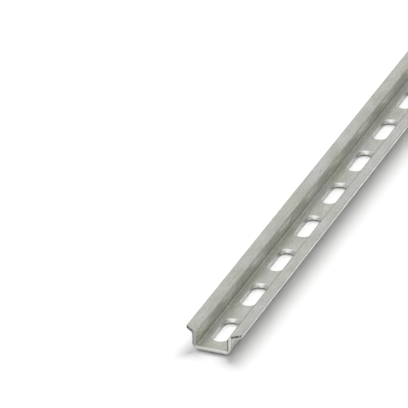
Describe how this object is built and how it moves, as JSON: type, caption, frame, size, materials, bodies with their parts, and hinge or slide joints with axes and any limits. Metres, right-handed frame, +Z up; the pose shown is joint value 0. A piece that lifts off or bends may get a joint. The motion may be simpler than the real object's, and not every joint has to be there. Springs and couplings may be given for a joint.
{
  "type": "din rail",
  "caption": "Small top-hat mounting rail of zinc-plated steel with a row of slots along its base, for clip-on terminal blocks.",
  "frame": {"origin": "middle of the underside of the base, half way along the rail", "axes": "+X along the rail, +Y across it, +Z up from the base to the flanges"},
  "size_m": [1, 0.015, 0.0055],
  "materials": {
    "zinc_plated_steel": "satin zinc plate with a faint yellow-grey passivation and fine streaks along the rolling direction"
  },
  "bodies": {
    "root": {"rail": "zinc_plated_steel"}
  },
  "joints": []
}
